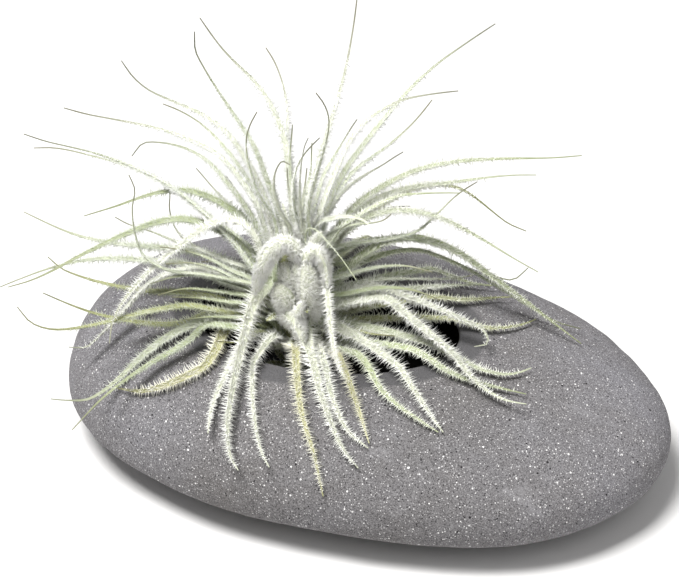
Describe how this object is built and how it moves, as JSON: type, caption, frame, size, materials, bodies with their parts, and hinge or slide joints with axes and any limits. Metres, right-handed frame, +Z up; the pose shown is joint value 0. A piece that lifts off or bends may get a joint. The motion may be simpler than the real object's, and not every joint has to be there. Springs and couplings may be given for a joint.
{
  "type": "air plant in pebble planter",
  "caption": "Furry air plant with a rosette of narrow arching silvery leaves, standing in the oval opening of a hollow pebble-shaped speckled stone planter.",
  "frame": {"origin": "on the flat spot under the stone, below the middle of the stone's outline, where it rests", "axes": "+Z up; +X along the stone's long axis, towards its lower, broader end away from the plant; +Y towards the back as pictured"},
  "size_m": [0.1734, 0.1125, 0.1236],
  "materials": {
    "stone": "matte cast stone with fine pale and dark specks",
    "stem": "matte living stem under hairs",
    "leaf_white": "silvery white, densely haired",
    "leaf_pale": "pale grey-green, haired",
    "leaf_green": "soft green, haired",
    "leaf_olive": "olive, older leaf, haired",
    "leaf_tan": "straw-yellow, oldest leaf, haired"
  },
  "bodies": {
    "root": {"stone_planter": "stone", "stem": "stem", "leaf_upper_01": "leaf_pale", "leaf_upper_02": "leaf_pale", "leaf_upper_03": "leaf_white", "leaf_upper_04": "leaf_pale", "leaf_upper_05": "leaf_white", "leaf_upper_06": "leaf_pale", "leaf_upper_07": "leaf_pale", "leaf_upper_08": "leaf_white", "leaf_upper_09": "leaf_white", "leaf_upper_10": "leaf_pale", "leaf_upper_11": "leaf_white", "leaf_upper_12": "leaf_pale", "leaf_upper_13": "leaf_pale", "leaf_upper_14": "leaf_pale", "leaf_upper_15": "leaf_white", "leaf_upper_16": "leaf_pale", "leaf_upper_17": "leaf_pale", "leaf_right_01": "leaf_green", "leaf_right_02": "leaf_pale", "leaf_right_03": "leaf_green", "leaf_right_04": "leaf_olive", "leaf_right_05": "leaf_pale", "leaf_right_06": "leaf_green", "leaf_right_07": "leaf_green", "leaf_right_08": "leaf_pale", "leaf_right_09": "leaf_white", "leaf_right_10": "leaf_olive", "leaf_right_11": "leaf_olive", "leaf_right_12": "leaf_white", "leaf_right_13": "leaf_pale", "leaf_right_14": "leaf_green", "leaf_front_01": "leaf_white", "leaf_front_02": "leaf_green", "leaf_front_03": "leaf_tan", "leaf_front_04": "leaf_white", "leaf_front_05": "leaf_white", "leaf_front_06": "leaf_white", "leaf_front_07": "leaf_tan", "leaf_front_08": "leaf_white", "leaf_front_09": "leaf_white", "leaf_front_10": "leaf_white", "leaf_left_01": "leaf_pale", "leaf_left_02": "leaf_green", "leaf_left_03": "leaf_tan", "leaf_left_04": "leaf_white", "leaf_left_05": "leaf_white", "leaf_left_06": "leaf_green", "leaf_left_07": "leaf_pale", "leaf_left_08": "leaf_pale", "leaf_left_09": "leaf_green", "leaf_left_10": "leaf_olive", "leaf_left_11": "leaf_olive", "leaf_left_12": "leaf_olive", "leaf_back_01": "leaf_pale", "leaf_back_02": "leaf_green", "leaf_back_03": "leaf_olive", "leaf_back_04": "leaf_olive"}
  },
  "joints": []
}
